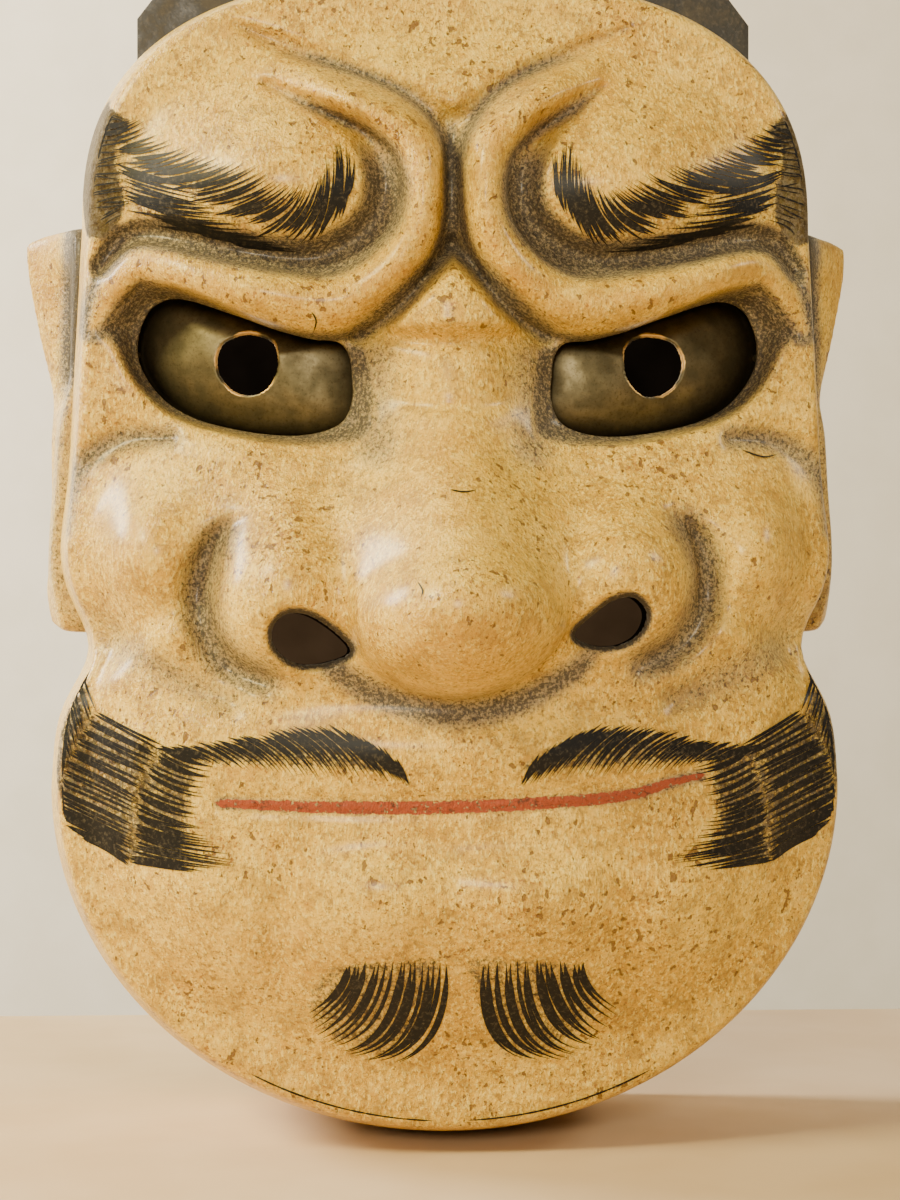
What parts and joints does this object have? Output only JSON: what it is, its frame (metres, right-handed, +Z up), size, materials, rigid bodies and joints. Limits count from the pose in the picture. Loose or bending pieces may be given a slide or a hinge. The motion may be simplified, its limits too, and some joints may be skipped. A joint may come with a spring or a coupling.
{
  "type": "noh mask",
  "caption": "hollow carved wooden demon mask with let-in brass eyes, pinned-on ears, a black crown strip, a flat back rim and cord holes at the temples",
  "frame": {"origin": "centre of the mask's box in X and Y, on the surface that the chin touches when the mask stands upright", "axes": "+Z up towards the crown, the face looks towards -Y, the flat back rim faces +Y, +X towards the wearer's left ear"},
  "size_m": [0.1566, 0.0962, 0.2202],
  "materials": {
    "painted_wood": "cream shell-white paint over cypress, polished and worn",
    "black_lacquer": "brush-streaked black lacquer on wood",
    "aged_brass": "dark tarnished brass sheet",
    "tack_brass": "dull brass",
    "bamboo": "cut bamboo, end grain showing"
  },
  "bodies": {
    "root": {"mask_shell": "painted_wood", "crown_strip": "black_lacquer", "left_ear": "painted_wood", "right_ear": "painted_wood", "left_eye": "aged_brass", "right_eye": "aged_brass", "left_eye_tacks": "tack_brass", "right_eye_tacks": "tack_brass", "ear_pegs": "bamboo", "crown_pegs": "bamboo"}
  },
  "joints": []
}
